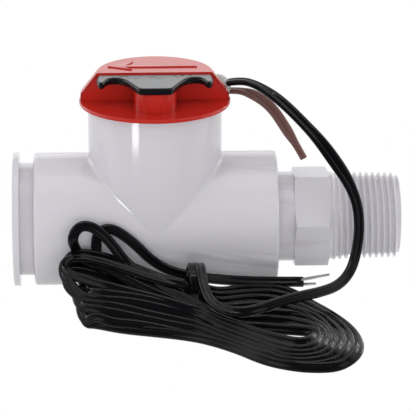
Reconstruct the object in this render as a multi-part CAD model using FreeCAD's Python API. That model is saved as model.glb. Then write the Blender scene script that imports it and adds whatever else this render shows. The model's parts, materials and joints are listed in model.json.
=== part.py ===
import FreeCAD, Part

import math
import os

V = FreeCAD.Vector
ALONG_X = V(1, 0, 0)
ALONG_Y = V(0, 1, 0)
ALONG_Z = V(0, 0, 1)

# All sizes are in millimetres. The run axis lies along X and the branch axis along Z, and the pieces of the
# switch are drawn about the point where they cross. The cords are drawn from the middle of the base.

# Pipe sizes
big_pipe_d = 33.4
small_pipe_d = 26.67
small_bore_d = 20.8
glue_gap = 0.1

# Tee
tee_wall = 2.95
tee_half = 36.0
branch_top = 35.7
socket_deep = 19.0
tee_bore_d = 26.6
tee_edge = 0.8
crotch_round = 1.0

# Outlet bushing, in the left socket
flange_over = 0.15
flange_t = 1.9
outlet_neck = 4.3
shoulder_gap = 0.4
slip_deep = 19.0
small_edge = 0.4

# Inlet bushing and adapter, in the right socket
inlet_neck = 4.9
adapter_grip = 16.0
hex_flats = 27.0
hex_long = 10.6
hex_turn = 6.0
hex_bevel = 12.0
thread_d = 26.0
thread_long = 21.0
thread_lead = 1.2

# Cap
rim_over = 2.55
rim_t = 1.2
rim_round = 0.5
rim_step = 0.4
shoulder_high = 3.2
shoulder_round = 0.8
cone_run = 4.9
cap_high = 9.6
cap_wall = 2.0
cap_round = 0.6
ledge_high = 1.2
cut_front = 2.7
boss_d = 12.4
boss_out = 9.4
skirt_long = 5.0
skirt_wall = 1.5
skirt_gap = 0.05

# Grip plate and its label
plate_t = 2.0
plate_sunk = 0.6
plate_over = 0.4
plate_gap = 0.25
rest_gap = 0.1
plate_bevel = 0.35
tongue_round = 2.0
horn_round = 0.5
tongue_half = 4.8
scallop_r = 3.2
scallop_x = 12.2
scallop_out = 4.6
label_t = 0.15

# Lift-to-test rod, its guide, spring, clip, magnet and seal
rod_r = 2.0
rod_fit = 0.05
rod_bite = 1.3
guide_r = 4.2
guide_bore_r = 3.3
rod_foot = 0.9
clip_t = 0.8
clip_r = 2.9
clip_groove = 0.4
clip_up = 1.0
test_magnet_r = 1.1
test_magnet_long = 3.0
rod_coil_r = 2.65
rod_wire_r = 0.25
rod_coils = 6
seal_wire_r = 0.6
seal_down = 2.0

# Switch cup in the branch
cup_long = 17.0
cup_gap = 0.15
cup_wall = 2.8
cup_floor = 2.5
ring_wire = 2.0
ring_squeeze = 0.25
ring_down = 4.2
ring_play = 0.03

# Reed switch, board, splices and potting
reed_r = 1.15
reed_long = 14.0
reed_up = 0.1
wire_r = 0.3
wire_out = 1.6
potting_high = 6.3
potting_gap = 0.05
board_long = 19.0
board_front = 2.5
board_back = 9.0
board_t = 1.6
splice_r = 1.2
splice_long = 7.0
splice_apart = 6.0
splice_back = 5.0

# Hinge
hinge_drop = 5.7
ear_inside = 5.0
ear_t = 2.5
ear_r = 3.2
pin_r = 1.0
pin_fit = 0.05
ear_fit = 0.02
pin_out = 1.1
pin_clip_r = 2.0
pin_clip_t = 0.6

# Paddle
hub_r = 5.0
hub_play = 0.3
sleeve_r = 1.9
sleeve_long = 2.5
arm_t = 2.4
arm_wide = 5.0
vane_t = 0.8
vane_r = 9.0
vane_below = 13.0
rivet_up = 2.0
rivet_r = 0.9
rivet_head_r = 1.6
rivet_head_t = 0.6
rivet_apart = 5.0
magnet_r = 2.0
magnet_long = 2.5
magnet_in = 1.9
spring_mean_r = 2.45
spring_wire_r = 0.2
spring_coils = 3.5

# How finely spring wire, seal rings, cords and the round corners of a profile are drawn
coil_steps = 12
coil_sides = 6
round_sides = 8
corner_steps = 2

# Lead exit on the cap's right flank
exit_angle = 16.0
exit_high = 4.3
seal_r = 3.9
seal_sunk = 2.0
seal_hole_r = 2.0

# Cords
lead_wide = 3.15
brown_wide = 2.9
cord_gap = 0.05
strand_r = 0.55
strand_long = 6.5
strand_gap = 0.3

# Worked out from the sizes above
right_reach = tee_half + inlet_neck + hex_long + thread_long
left_reach = tee_half + outlet_neck + flange_t
branch_x = (left_reach - right_reach) / 2
socket_r = big_pipe_d / 2 + glue_gap
tee_r = socket_r + tee_wall
flange_r = tee_r + flange_over
run_z = max(tee_r, flange_r)
small_socket_r = small_pipe_d / 2 + glue_gap
cup_r = socket_r - cup_gap
cup_inside_r = cup_r - cup_wall
cup_bottom = branch_top - cup_long
cup_inside_z = cup_bottom + cup_floor
hinge_z = cup_bottom - hinge_drop
cap_top = branch_top + cap_high
ledge_z = branch_top + ledge_high
plate_top = cap_top - plate_sunk - label_t
plate_z = plate_top - plate_t
boss_top = plate_z - rest_gap
plate_back = -cut_front - plate_gap
rim_r = tee_r + rim_over
shoulder_r = rim_r - rim_step
top_r = shoulder_r - cone_run
plate_r = top_r + plate_over
rod_foot_z = cup_inside_z + rod_foot
clip_z = rod_foot_z + clip_up
potting_top = cup_inside_z + potting_high
hub_half = ear_inside - hub_play
sleeve_y = hub_half - sleeve_long


def rod(radius, start, length, direction):
    return Part.makeCylinder(radius, length, start, direction)


def pipe(outer, inner, start, length, direction):
    return rod(outer, start, length, direction).cut(rod(inner, start, length, direction))


def block(x0, x1, y0, y1, z0, z1):
    return Part.makeBox(x1 - x0, y1 - y0, z1 - z0, V(x0, y0, z0))


def prism(points, thickness, direction):
    wire = Part.makePolygon([V(*p) for p in points + points[:1]])
    return Part.Face(wire).extrude(direction * thickness)


def turned(profile, axis=ALONG_Z):
    # a solid of revolution about the branch or the run, from points (radius, place along the axis)
    out = -ALONG_Z if axis is ALONG_X else ALONG_X
    wire = Part.makePolygon([out * r + axis * place for r, place in profile + profile[:1]])
    return Part.Face(wire).revolve(V(0, 0, 0), axis, 360)


def eased(before, corner, after, radius):
    # the points of a round corner of a profile, on the arc that touches both of its sides
    into = V(before[0] - corner[0], before[1] - corner[1], 0).normalize()
    out = V(after[0] - corner[0], after[1] - corner[1], 0).normalize()
    half = into.getAngle(out) / 2
    centre = (into + out).normalize() * (radius / math.sin(half))
    first = into * (radius / math.tan(half)) - centre
    last = out * (radius / math.tan(half)) - centre
    sweep = math.pi - 2 * half
    points = []
    for k in range(corner_steps + 1):
        part = sweep * k / corner_steps
        spoke = (first * math.sin(sweep - part) + last * math.sin(part)) * (1 / math.sin(sweep))
        points.append((corner[0] + centre.x + spoke.x, corner[1] + centre.y + spoke.y))
    return points


def seal_ring(centre_r, wire_r, z):
    # an O-ring about the branch axis, with flats in place of the round of its wire
    corner = wire_r / math.cos(math.pi / round_sides)
    turns = [math.pi * (2 * k + 1) / round_sides for k in range(round_sides)]
    return turned([(centre_r + corner * math.cos(t), z + corner * math.sin(t)) for t in turns])


def round_edges(solid, radius, chosen):
    edges = [e for e in solid.Edges if chosen(e)]
    return solid.makeFillet(radius, edges)


def coil(mean_r, wire_r, pitch, turns):
    # spring wire wound about Z, in short straight runs with mitred joints
    steps = round(turns * coil_steps)
    turn = 2 * math.pi / coil_steps
    corners = [V(mean_r * math.cos(turn * k), mean_r * math.sin(turn * k), pitch * k / coil_steps)
               for k in range(steps + 1)]
    out = V(1, 0, 0)
    beside = (corners[1] - corners[0]).normalize().cross(out)
    face = 2 * math.pi / coil_sides
    spokes = [out * math.cos(face * k) + beside * math.sin(face * k) for k in range(coil_sides)]
    rim = [corners[0] + spoke * wire_r for spoke in spokes]
    section = Part.makePolygon(rim + rim[:1])
    return Part.makePolygon(corners).makePipeShell([section], True, False, 1)


def tee_body():
    left_end = [(0, -tee_half), (tee_r, -tee_half), (tee_r, tee_half)]
    right_end = [(tee_r, -tee_half), (tee_r, tee_half), (0, tee_half)]
    profile = [left_end[0]] + eased(*left_end, tee_edge) + eased(*right_end, tee_edge) + [right_end[2]]
    run = turned(profile, ALONG_X)
    branch = rod(tee_r, V(0, 0, 0), branch_top, ALONG_Z)
    solid = run.fuse(branch).removeSplitter()
    solid = round_edges(solid, crotch_round, lambda e: isinstance(e.Curve, Part.Ellipse))
    waterway = rod(tee_bore_d / 2, V(-tee_half, 0, 0), 2 * tee_half, ALONG_X)
    chamber = rod(tee_bore_d / 2, V(0, 0, 0), branch_top, ALONG_Z)
    solid = solid.cut(waterway.fuse(chamber))
    deep = socket_deep
    left = rod(socket_r, V(-tee_half, 0, 0), deep, ALONG_X)
    right = rod(socket_r, V(tee_half - deep, 0, 0), deep, ALONG_X)
    top = rod(socket_r, V(0, 0, branch_top - deep), deep, ALONG_Z)
    return solid.cut(left).cut(right).cut(top)


def outlet_bushing():
    neck_x = -tee_half - outlet_neck
    inner_end = -tee_half + socket_deep - shoulder_gap
    edge = [(0, neck_x - flange_t), (flange_r, neck_x - flange_t), (flange_r, neck_x)]
    flange = turned([edge[0]] + eased(*edge, small_edge) + [edge[2], (0, neck_x)], ALONG_X)
    spigot = rod(big_pipe_d / 2, V(neck_x, 0, 0), inner_end - neck_x, ALONG_X)
    solid = flange.fuse(spigot).removeSplitter()
    solid = solid.cut(rod(small_socket_r, V(neck_x - flange_t, 0, 0), slip_deep, ALONG_X))
    return solid.cut(rod(small_bore_d / 2, V(neck_x, 0, 0), inner_end - neck_x, ALONG_X))


def inlet_bushing():
    start = tee_half - socket_deep + shoulder_gap
    solid = rod(big_pipe_d / 2, V(start, 0, 0), tee_half - start, ALONG_X)
    solid = solid.cut(rod(small_bore_d / 2, V(start, 0, 0), tee_half - start, ALONG_X))
    grip = adapter_grip + shoulder_gap
    return solid.cut(rod(small_socket_r, V(tee_half - grip, 0, 0), grip, ALONG_X))


def hexagon(start):
    corner = hex_flats / 2 / math.cos(math.pi / 6)
    turns = [math.radians(hex_turn + 60 * k) for k in range(6)]
    points = [(start, -corner * math.cos(a), corner * math.sin(a)) for a in turns]
    solid = prism(points, hex_long, ALONG_X)
    # each end is turned down to the flats by a shallow cone
    step = corner - hex_flats / 2
    rise = step * math.tan(math.radians(hex_bevel))
    barrel = rod(corner, V(start + rise, 0, 0), hex_long - 2 * rise, ALONG_X)
    near = Part.makeCone(corner - step, corner, rise, V(start, 0, 0), ALONG_X)
    far = Part.makeCone(corner, corner - step, rise, V(start + hex_long - rise, 0, 0), ALONG_X)
    return solid.common(barrel.fuse(near).fuse(far))


def inlet_adapter():
    hex_x = tee_half + inlet_neck
    thread_x = hex_x + hex_long
    plain = thread_long - thread_lead
    spigot = rod(small_pipe_d / 2, V(tee_half - adapter_grip, 0, 0), adapter_grip + inlet_neck, ALONG_X)
    thread = rod(thread_d / 2, V(thread_x, 0, 0), plain, ALONG_X)
    lead_x = thread_x + plain
    lead = Part.makeCone(thread_d / 2, thread_d / 2 - thread_lead, thread_lead, V(lead_x, 0, 0), ALONG_X)
    solid = spigot.fuse(hexagon(hex_x)).fuse(thread).fuse(lead).removeSplitter()
    return solid.cut(rod(small_bore_d / 2, V(0, 0, 0), right_reach, ALONG_X))


def cap_outside():
    rim_top = branch_top + rim_t
    shoulder_z = branch_top + shoulder_high
    under = [(0, branch_top), (rim_r, branch_top), (rim_r, rim_top)]
    lip = [(rim_r, branch_top), (rim_r, rim_top), (shoulder_r, rim_top)]
    bend = [(shoulder_r, rim_top), (shoulder_r, shoulder_z), (top_r, cap_top)]
    brow = [(shoulder_r, shoulder_z), (top_r, cap_top), (0, cap_top)]
    profile = [(0, branch_top)] + eased(*under, rim_round) + eased(*lip, rim_step / 2) + [bend[0]]
    profile += eased(*bend, shoulder_round) + eased(*brow, cap_round) + [(0, cap_top)]
    return turned(profile)


def cap_body():
    solid = cap_outside()
    solid = solid.cut(block(-rim_r, rim_r, -rim_r, -cut_front, ledge_z, cap_top))
    boss = rod(boss_d / 2, V(0, -boss_out, ledge_z), boss_top - ledge_z, ALONG_Z)
    bridge = block(-boss_d / 2, boss_d / 2, -boss_out, -cut_front, ledge_z, boss_top)
    solid = solid.fuse(boss.fuse(bridge)).removeSplitter()
    skirt_r = cup_inside_r - skirt_gap
    solid = solid.fuse(rod(skirt_r, V(0, 0, branch_top - skirt_long), skirt_long, ALONG_Z))
    hollow_r = skirt_r - skirt_wall
    solid = solid.cut(rod(hollow_r, V(0, 0, branch_top - skirt_long), skirt_long, ALONG_Z))
    dome = rod(hollow_r, V(0, 0, branch_top), cap_high - cap_wall, ALONG_Z)
    behind = block(-rim_r, rim_r, 0, rim_r, branch_top, cap_top)
    solid = solid.cut(dome.common(behind))
    foot = cup_inside_z + rest_gap
    solid = solid.fuse(rod(guide_r, V(0, -boss_out, foot), branch_top - foot, ALONG_Z))
    solid = solid.cut(rod(guide_bore_r, V(0, -boss_out, foot), branch_top - foot, ALONG_Z))
    solid = solid.cut(rod(rod_r + rod_fit, V(0, -boss_out, foot), boss_top - foot, ALONG_Z))
    seal_high = 2 * seal_wire_r + rest_gap
    groove_r = rod_r + 2 * seal_wire_r + rest_gap
    solid = solid.cut(rod(groove_r, V(0, -boss_out, seal_z() - seal_high / 2), seal_high, ALONG_Z))
    return solid.cut(exit_hole())


def seal_z():
    return boss_top - seal_down


def exit_point():
    # where the leads leave the cone, in the frame of the pieces
    cone_r = top_r + (cap_high - exit_high) * cone_run / (cap_high - shoulder_high)
    angle = math.radians(exit_angle)
    return V(cone_r * math.cos(angle), cone_r * math.sin(angle), branch_top + exit_high)


def exit_hole():
    end = exit_point()
    inward = V(-end.x, -end.y, 0).normalize()
    return rod(seal_hole_r, end - inward * seal_r, end.Length / 2, inward)


def lead_seal():
    # a dome of compound that stands on the flank and fills the hole behind it
    end = exit_point()
    inward = V(-end.x, -end.y, 0).normalize()
    into_flank = inward * (cap_high - shoulder_high) - ALONG_Z * cone_run
    dome = Part.makeSphere(seal_r, end + into_flank.normalize() * seal_sunk)
    plug = rod(seal_hole_r - rest_gap / 2, end, seal_r + cap_wall, inward)
    below = rod(rim_r, V(0, 0, 0), branch_top + rim_t, ALONG_Z)
    solid = dome.cut(cap_outside()).cut(below).fuse(plug).removeSplitter()
    for points, width in ((lead_route, lead_wide), (brown_route, brown_wide)):
        start = V(*points[0]) - V(branch_x, 0, run_z)
        solid = solid.cut(rod(tube_corner(width) + cord_gap, start, 2 * seal_r, V(*points[1]) - V(*points[0])))
    return solid


def switch_cup():
    profile = [(0, cup_bottom), (cup_r, cup_bottom), (cup_r, branch_top), (cup_inside_r, branch_top)]
    profile += [(cup_inside_r, cup_inside_z), (0, cup_inside_z)]
    solid = turned(profile)
    groove_r = cup_r + cup_gap - ring_wire + ring_squeeze
    groove_high = ring_wire + ring_squeeze
    ring_z = branch_top - ring_down
    solid = solid.cut(pipe(cup_r + cup_gap, groove_r, V(0, 0, ring_z - groove_high / 2), groove_high, ALONG_Z))
    for side in (-1, 1):
        y = side * (ear_inside + ear_t / 2) - ear_t / 2
        ear = rod(ear_r, V(0, y, hinge_z), ear_t, ALONG_Y)
        web = block(-ear_r, ear_r, y, y + ear_t, hinge_z, cup_bottom)
        hole = rod(pin_r + ear_fit, V(0, y, hinge_z), ear_t, ALONG_Y)
        solid = solid.fuse(ear.fuse(web).removeSplitter()).cut(hole)
    return solid


def cup_seal():
    wire_r = (ring_wire - ring_squeeze) / 2 - ring_play
    centre_r = cup_r + cup_gap - ring_play - wire_r
    return seal_ring(centre_r, wire_r, branch_top - ring_down)


def reed_z():
    return cup_inside_z + reed_up + reed_r


def reed_switch(extra=0.0):
    radius = reed_r + extra
    half = reed_long / 2 + extra
    glass = turned([(0, -half), (wire_r, -half), (radius, -half + radius), (radius, half - radius),
                    (wire_r, half), (0, half)], ALONG_X)
    glass.translate(ALONG_Z * reed_z())
    return glass


def reed_lead(side, extra=0.0):
    # a wire out of the glass, bent up to the board, with a mitred bend
    start = V(side * reed_long / 2, 0, reed_z())
    bend = start + V(side * wire_out, 0, 0)
    top = V(bend.x, 0, potting_top)
    corner = (wire_r + extra) / math.cos(math.pi / coil_sides)
    turns = [2 * math.pi * k / coil_sides for k in range(coil_sides)]
    rim = [start + V(0, math.cos(t), math.sin(t)) * corner for t in turns]
    section = Part.makePolygon(rim + rim[:1])
    return Part.makePolygon([start, bend, top]).makePipeShell([section], True, False, 1)


def reed_leads():
    return Part.makeCompound([reed_lead(-1), reed_lead(1)])


def potting():
    radius = cup_inside_r - potting_gap
    low = cup_inside_z + potting_gap
    fill = rod(radius, V(0, 0, low), potting_top - potting_gap - low, ALONG_Z)
    fill = fill.cut(rod(guide_r + potting_gap, V(0, -boss_out, low), potting_high, ALONG_Z))
    fill = fill.cut(reed_switch(potting_gap))
    for side in (-1, 1):
        fill = fill.cut(reed_lead(side, potting_gap))
    return fill


def switch_board():
    half = board_long / 2
    return block(-half, half, -board_front, board_back, potting_top, potting_top + board_t)


def lead_splices():
    low = potting_top + board_t
    places = [side * splice_apart / 2 for side in (-1, 1)]
    return Part.makeCompound([rod(splice_r, V(x, splice_back, low), splice_long, ALONG_Z) for x in places])


def hinge_pin():
    half = ear_inside + ear_t + pin_out
    return rod(pin_r, V(0, -half, hinge_z), 2 * half, ALONG_Y)


def pin_clips():
    outside = ear_inside + ear_t + rest_gap
    left = pipe(pin_clip_r, pin_r + ear_fit, V(0, -outside - pin_clip_t, hinge_z), pin_clip_t, ALONG_Y)
    right = pipe(pin_clip_r, pin_r + ear_fit, V(0, outside, hinge_z), pin_clip_t, ALONG_Y)
    return Part.makeCompound([left, right])


def vane_z():
    return hinge_z - vane_below


def rivet_places():
    return [vane_z() + rivet_up - rivet_apart / 2, vane_z() + rivet_up + rivet_apart / 2]


def paddle_arm():
    hub = rod(hub_r, V(0, -hub_half, hinge_z), hub_half + sleeve_y, ALONG_Y)
    sleeve = rod(sleeve_r, V(0, 0, hinge_z), hub_half, ALONG_Y)
    foot = vane_z() - rivet_apart
    bar = block(-arm_t / 2, arm_t / 2, -arm_wide / 2, arm_wide / 2, foot, hinge_z)
    solid = hub.fuse(sleeve).fuse(bar).removeSplitter()
    solid = solid.cut(rod(pin_r + pin_fit, V(0, -hub_half, hinge_z), 2 * hub_half, ALONG_Y))
    pocket_y = (sleeve_y - hub_half) / 2
    pocket = rod(magnet_r + pin_fit, V(0, pocket_y, hinge_z + magnet_in), hub_r, ALONG_Z)
    solid = solid.cut(pocket)
    for z in rivet_places():
        solid = solid.cut(rod(rivet_r, V(-arm_t, 0, z), 2 * arm_t, ALONG_X))
    return solid


def paddle_magnet():
    pocket_y = (sleeve_y - hub_half) / 2
    return rod(magnet_r, V(0, pocket_y, hinge_z + magnet_in), magnet_long, ALONG_Z)


def paddle_vane():
    # a thin disc on the upstream face of the arm, with its top cut straight under the hub
    x = arm_t / 2
    solid = rod(vane_r, V(x, 0, vane_z()), vane_t, ALONG_X)
    solid = solid.cut(block(x, x + vane_t, -vane_r, vane_r, hinge_z - hub_r, hinge_z))
    for z in rivet_places():
        solid = solid.cut(rod(rivet_r, V(x, 0, z), vane_t, ALONG_X))
    return solid


def vane_rivets():
    rivets = []
    low = -arm_t / 2
    high = arm_t / 2 + vane_t
    for z in rivet_places():
        shank = rod(rivet_r, V(low, 0, z), high - low, ALONG_X)
        tail = rod(rivet_head_r, V(low - rivet_head_t, 0, z), rivet_head_t, ALONG_X)
        head = rod(rivet_head_r, V(high, 0, z), rivet_head_t, ALONG_X)
        rivets.append(shank.fuse(tail).fuse(head).removeSplitter())
    return Part.makeCompound(rivets)


def return_spring():
    # turns round the hub's sleeve, one leg into the hub and one up to the cup
    pitch = (sleeve_long - 4 * spring_wire_r) / spring_coils
    height = pitch * spring_coils
    wound = coil(spring_mean_r, spring_wire_r, pitch, spring_coils)
    wound.rotate(V(0, 0, 0), ALONG_X, -90)
    wound.translate(V(0, sleeve_y + 2 * spring_wire_r, hinge_z))
    far_x = -spring_mean_r
    far_y = sleeve_y + 2 * spring_wire_r + height
    leg_long = cup_bottom - rest_gap - hinge_z
    leg = rod(spring_wire_r, V(far_x, far_y, hinge_z), leg_long, ALONG_Z)
    return wound.fuse(leg)


def on_disc(angle):
    return V(plate_r * math.cos(angle), plate_r * math.sin(angle), plate_z)


def arc_edge(start, middle, end):
    return Part.Arc(start, middle, end).toShape()


def plate_side():
    # the outline of the plate's right half, from the back corner to the middle of the tongue: round the disc to
    # a short horn, round a finger scallop, and down a straight flank to the corner of the tongue
    back = math.asin(plate_back / plate_r)
    corner = on_disc(-math.acos(tongue_half / plate_r))
    centre = V(scallop_x, -cut_front - scallop_out, plate_z)
    away = corner - centre
    touch_angle = math.atan2(away.y, away.x) - math.acos(scallop_r / away.Length)
    centre_out = math.hypot(centre.x, centre.y)
    across = (centre_out ** 2 + plate_r ** 2 - scallop_r ** 2) / (2 * centre_out * plate_r)
    horn_angle = math.atan2(centre.y, centre.x) + math.acos(across)
    horn = on_disc(horn_angle)
    from_centre = math.atan2(horn.y - centre.y, horn.x - centre.x)
    touch_angle = touch_angle % (2 * math.pi)
    middle_angle = (from_centre + touch_angle) / 2
    touch = centre + V(math.cos(touch_angle), math.sin(touch_angle), 0) * scallop_r
    deep = centre + V(math.cos(middle_angle), math.sin(middle_angle), 0) * scallop_r
    outer = arc_edge(on_disc(back), on_disc((back + horn_angle) / 2), horn)
    flank = Part.LineSegment(touch, corner).toShape()
    front = -math.pi / 2
    tongue = arc_edge(corner, on_disc((math.atan2(corner.y, corner.x) + front) / 2), on_disc(front))
    return [outer, arc_edge(horn, deep, touch), flank, tongue]


def plate_solid():
    side = plate_side()
    other = [e.mirror(V(0, 0, 0), ALONG_X) for e in side]
    back = side[0].Vertexes[0].Point
    chord = Part.LineSegment(V(-back.x, back.y, plate_z), back).toShape()
    wire = Part.Wire(Part.__sortEdges__([chord] + side + other))
    solid = Part.Face(wire).extrude(ALONG_Z * plate_t).removeSplitter()
    corner_x = tongue_half
    solid = round_edges(solid, tongue_round, lambda e: stands_at(e, corner_x, plate_z))
    return round_edges(solid, horn_round, lambda e: stands_at(e, scallop_x + scallop_r, plate_z))


def stands_at(edge, x, z):
    # an upright edge near this distance from the middle
    upright = edge.BoundBox.ZLength > plate_t / 2 and edge.BoundBox.XLength < 1e-6
    return upright and abs(abs(edge.Vertexes[0].X) - x) < scallop_r / 4


def test_handle():
    solid = plate_solid()
    solid = solid.makeChamfer(plate_bevel, [e for e in solid.Edges if e.BoundBox.ZLength < 1e-6])
    socket = rod(rod_r + ear_fit, V(0, -boss_out, plate_z), rod_bite, ALONG_Z)
    return solid.cut(socket)


def handle_label():
    # foil that covers the flat of the plate, inside its rounded edge
    top = max(test_handle().Faces, key=lambda f: f.CenterOfMass.z)
    return top.extrude(ALONG_Z * label_t)


def test_plunger():
    top = plate_z + rod_bite
    solid = rod(rod_r, V(0, -boss_out, rod_foot_z), top - rod_foot_z, ALONG_Z)
    inner = rod_r - clip_groove
    groove = pipe(rod_r + rod_fit, inner, V(0, -boss_out, clip_z), clip_t, ALONG_Z)
    pocket = rod(test_magnet_r + ear_fit, V(0, -boss_out, rod_foot_z), test_magnet_long, ALONG_Z)
    return solid.cut(groove).cut(pocket)


def test_magnet():
    return rod(test_magnet_r, V(0, -boss_out, rod_foot_z), test_magnet_long - ear_fit, ALONG_Z)


def plunger_clip():
    inner = rod_r - clip_groove + ear_fit
    high = clip_t - 2 * ear_fit
    return pipe(clip_r, inner, V(0, -boss_out, clip_z + ear_fit), high, ALONG_Z)


def plunger_spring():
    low = clip_z + clip_t + rod_wire_r + rest_gap
    high = branch_top - rod_wire_r - rest_gap
    wound = coil(rod_coil_r, rod_wire_r, (high - low) / rod_coils, rod_coils)
    wound.translate(V(0, -boss_out, low))
    return wound


def plunger_seal():
    centre_r = rod_r + rod_fit + seal_wire_r
    ring = seal_ring(centre_r, seal_wire_r, seal_z())
    ring.translate(ALONG_Y * -boss_out)
    return ring


# Cord routes, from the middle of the base: each point is a corner that the cord rounds
lead_route = [
    (6.5, 3.8, 60.5), (10.3, 2.4, 61.5), (14.4, 0.5, 60.9), (19.0, -2.2, 58.8), (23.4, -5.4, 55.8),
    (28.1, -8.8, 51.7), (32.7, -12.2, 47.3), (37.0, -15.3, 41.9), (40.9, -17.9, 36.4), (43.5, -20.0, 30.2),
    (44.2, -22.4, 23.4), (43.3, -25.4, 16.9), (41.2, -29.4, 11.6), (37.2, -34.6, 9.2), (31.6, -40.4, 9.0),
    (25.2, -46.2, 9.3), (18.8, -51.0, 9.2), (13.2, -53.9, 9.0), (7.2, -54.2, 9.1), (1.8, -51.4, 9.8),
    (-1.6, -46.2, 10.9), (-3.4, -40.0, 12.2), (-4.5, -33.8, 13.0),
]
tail_route = [
    (-1.0, -22.6, 9.8), (6.0, -20.2, 8.0), (13.6, -19.4, 6.9), (20.8, -18.2, 6.2), (27.4, -17.4, 5.0),
]
brown_route = [
    (6.9, 6.8, 57.1), (9.6, 5.8, 57.5), (13.4, 4.0, 57.1), (17.3, 2.2, 55.2), (20.3, 0.8, 52.4),
    (22.8, -0.4, 48.7), (25.1, -1.4, 45.1), (27.1, -2.3, 42.0), (28.9, -3.1, 38.8),
]


def rounded_path(points):
    # straight runs joined by tangent arcs, each as large as its two runs allow
    corners = [V(*p) for p in points]
    edges = []
    radii = []
    last = corners[0]
    for before, here, after in zip(corners, corners[1:], corners[2:]):
        into = (here - before).normalize()
        out = (after - here).normalize()
        shorter = min((here - before).Length, (after - here).Length)
        half = into.getAngle(out) / 2
        trim = 0.45 * shorter
        radius = trim / math.tan(half)
        inward = (out - into).normalize()
        centre = here + inward * (radius / math.cos(half))
        start = here - into * trim
        end = here + out * trim
        edges.append(Part.LineSegment(last, start).toShape())
        edges.append(Part.Arc(start, centre - inward * radius, end).toShape())
        radii.append(radius)
        last = end
    edges.append(Part.LineSegment(last, corners[-1]).toShape())
    print("radii:", " ".join("%.1f" % r for r in radii))
    return Part.Wire(edges)


def tube_corner(width):
    # how far the corners of a tube of this width, drawn with flats, stand from its middle
    return width / 2 / math.cos(math.pi / round_sides)


def tube(path, points, width):
    first = V(*points[0])
    heading = (V(*points[1]) - first).normalize()
    side = heading.cross(ALONG_Z).normalize()
    across = heading.cross(side)
    turns = [math.pi * (2 * k + 1) / round_sides for k in range(round_sides)]
    corner = tube_corner(width)
    rim = [first + (side * math.cos(t) + across * math.sin(t)) * corner for t in turns]
    return path.makePipeShell([Part.makePolygon(rim + rim[:1])], True, False)


def cord_tube(name, points, width):
    path = rounded_path(points)
    solid = tube(path, points, width)
    section = round_sides * math.tan(math.pi / round_sides) * width ** 2 / 4
    expected = section * path.Length
    print(name, "length %.1f" % path.Length, "volume over section x length %.4f" % (solid.Volume / expected))
    return solid


# Cross-sections of the hank along X: place, middle in Y and Z, half width, half thickness, lean in degrees
hank_left = [
    (-42.6, -25.6, 13.4, 3.2, 1.8, 40.0), (-39.0, -29.6, 10.8, 8.6, 3.0, 36.0),
    (-30.0, -35.0, 8.4, 13.4, 3.4, 30.0), (-18.0, -37.6, 7.0, 16.4, 3.8, 22.0),
]
hank_waist = (-3.0, -40.0, 5.8, 18.8, 4.6, 14.0)
hank_right = [
    (11.0, -43.0, 4.4, 23.6, 4.2, 5.0), (24.0, -49.0, 4.0, 30.0, 3.8, 0.0),
    (34.0, -54.0, 3.8, 23.6, 3.6, 0.0), (40.4, -62.0, 3.6, 9.0, 3.0, 0.0),
]
wrap_start = -6.8
wrap_long = 8.0
wrap_proud = 2.4
hank_sides = 10
loops_y = -20.9
loops_t = 3.6
loops_outline = [(-41.4, 12.0), (-42.0, 21.0), (-38.6, 26.4), (-26.6, 26.4), (-14.0, 16.0), (-6.0, 12.0)]


def leaning_section(x, y, z, wide, thick, lean):
    # a closed outline round an ellipse that leans back, flattened where it would go under the floor
    angle = math.radians(lean)
    major = V(0, math.cos(angle), math.sin(angle)) * wide
    minor = V(0, -math.sin(angle), math.cos(angle)) * thick
    step = 2 * math.pi / hank_sides
    turns = [step * (k + 0.5) for k in range(hank_sides)]
    rim = [V(x, y, z) + major * math.cos(t) + minor * math.sin(t) for t in turns]
    rim = [V(p.x, p.y, max(p.z, 0)) for p in rim]
    return Part.makePolygon(rim + rim[:1])


def cord_hank():
    sections = hank_left + [hank_waist] + hank_right
    body = Part.makeLoft([leaning_section(*s) for s in reversed(sections)], True, True)
    x, y, z, wide, thick, lean = hank_waist
    band = leaning_section(wrap_start, y, z, wide + wrap_proud / 2, thick + wrap_proud, lean)
    wrap = Part.Face(band).extrude(ALONG_X * wrap_long)
    loops = prism([(x, loops_y, z) for x, z in loops_outline], loops_t, -ALONG_Y)
    solid = body.fuse(wrap).fuse(loops)
    for points in (lead_route, tail_route):
        solid = solid.cut(tube(rounded_path(points), points, lead_wide + 2 * cord_gap))
    return solid


def conductor_ends():
    # two stripped and tinned ends that fan out of the tail
    last = V(*tail_route[-1])
    heading = (last - V(*tail_route[-2])).normalize()
    ends = []
    for side, spread in ((-1, -8.0), (1, 14.0)):
        turn = FreeCAD.Rotation(ALONG_Y, spread)
        start = last + heading * strand_gap + V(0, 0, side * lead_wide / 4)
        ends.append(rod(strand_r, start, strand_long, turn.multVec(heading)))
    return Part.makeCompound(ends)


def save(name, shape, crossing=True):
    shape = shape.copy()
    if crossing:
        shape.translate(V(branch_x, 0, run_z))
    shape.exportStep("parts/" + name + ".step")
    print(name, "solids", len(shape.Solids), "valid", shape.isValid(), "volume %.1f" % shape.Volume)


def main():
    os.makedirs("parts", exist_ok=True)
    pieces = [
        tee_body, outlet_bushing, inlet_bushing, inlet_adapter, cap_body, lead_seal, switch_cup, cup_seal,
        reed_switch, reed_leads, potting, switch_board, lead_splices, hinge_pin, pin_clips, paddle_arm,
        paddle_magnet, paddle_vane, vane_rivets, return_spring, test_handle, handle_label, test_plunger,
        test_magnet, plunger_clip, plunger_spring, plunger_seal,
    ]
    for piece in pieces:
        save(piece.__name__, piece())
    save("cord_lead", cord_tube("cord_lead", lead_route, lead_wide), False)
    save("cord_tail", cord_tube("cord_tail", tail_route, lead_wide), False)
    save("brown_lead", cord_tube("brown_lead", brown_route, brown_wide), False)
    save("cord_hank", cord_hank(), False)
    save("conductor_ends", conductor_ends(), False)


main()
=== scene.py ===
import json
import math

import bmesh
import bpy
from mathutils import Matrix, Vector


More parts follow.
